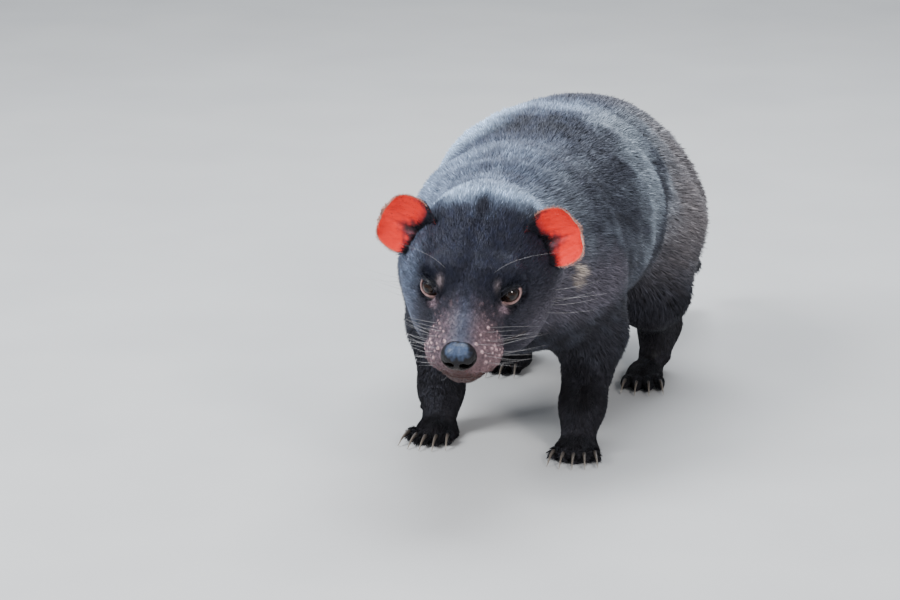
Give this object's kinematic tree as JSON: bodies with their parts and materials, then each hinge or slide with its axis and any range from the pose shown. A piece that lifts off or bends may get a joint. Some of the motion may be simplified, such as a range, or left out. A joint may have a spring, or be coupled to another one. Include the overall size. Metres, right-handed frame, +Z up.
{
  "type": "tasmanian devil",
  "caption": "Life-size still model of a Tasmanian devil standing on its feet with its head lowered and turned slightly, red ears raised and tail held down behind.",
  "frame": {"origin": "on the floor under the middle of the whole animal", "axes": "+Z up, the animal faces -Y, its left side is +X"},
  "size_m": [0.2458, 0.726, 0.2788],
  "materials": {
    "coat": "dense short fur, black with a slate blue sheen",
    "face_skin": "short fur thinning to bare pinkish skin at the muzzle and eyelids",
    "ear_skin": "thin bare skin, red with light through it",
    "eye": "wet gloss",
    "nose_leather": "wet and finely pebbled",
    "sole_skin": "short fur above, bare creased pads below",
    "horn": "satin horn"
  },
  "bodies": {
    "root": {"head": "face_skin", "left_eye": "eye", "right_eye": "eye", "nose": "nose_leather", "neck": "coat", "left_ear": "ear_skin", "right_ear": "ear_skin", "torso": "coat", "tail": "coat", "left_fore_leg": "coat", "left_fore_paw": "sole_skin", "left_fore_claw_1": "horn", "left_fore_claw_2": "horn", "left_fore_claw_3": "horn", "left_fore_claw_4": "horn", "left_fore_claw_5": "horn", "right_fore_leg": "coat", "right_fore_paw": "sole_skin", "right_fore_claw_1": "horn", "right_fore_claw_2": "horn", "right_fore_claw_3": "horn", "right_fore_claw_4": "horn", "right_fore_claw_5": "horn", "left_hind_leg": "coat", "left_hind_paw": "sole_skin", "left_hind_claw_1": "horn", "left_hind_claw_2": "horn", "left_hind_claw_3": "horn", "left_hind_claw_4": "horn", "right_hind_leg": "coat", "right_hind_paw": "sole_skin", "right_hind_claw_1": "horn", "right_hind_claw_2": "horn", "right_hind_claw_3": "horn", "right_hind_claw_4": "horn"}
  },
  "joints": []
}
